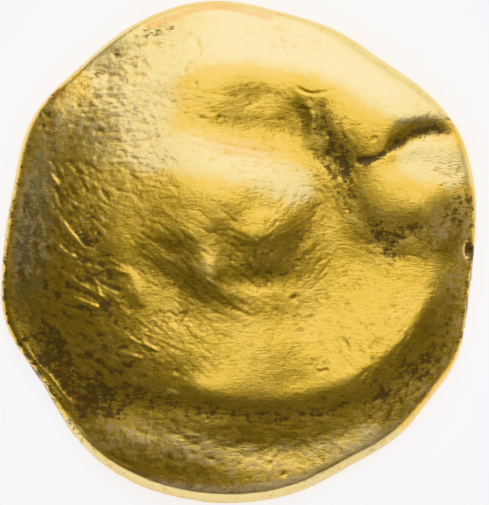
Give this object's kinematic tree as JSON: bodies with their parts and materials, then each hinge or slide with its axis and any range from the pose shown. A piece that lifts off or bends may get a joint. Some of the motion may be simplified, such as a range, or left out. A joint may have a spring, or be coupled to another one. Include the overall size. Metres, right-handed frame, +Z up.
{
  "type": "stater coin",
  "caption": "Worn hammered gold coin, lying flat: uneven outline, a domed struck face with a heavy blob, a curved trough and a lobe at the edge, and a shallow dished underside.",
  "frame": {"origin": "under the middle of the coin's bounding box, on the surface it lies on", "axes": "+Z up out of the struck face, +X to the right and +Y to the top of the struck face as the picture shows it"},
  "size_m": [0.0162, 0.017, 0.0026],
  "materials": {
    "worn_gold": "worn satin gold, brown in the recesses and rubbed bright on the high parts"
  },
  "bodies": {
    "root": {"coin": "worn_gold"}
  },
  "joints": []
}
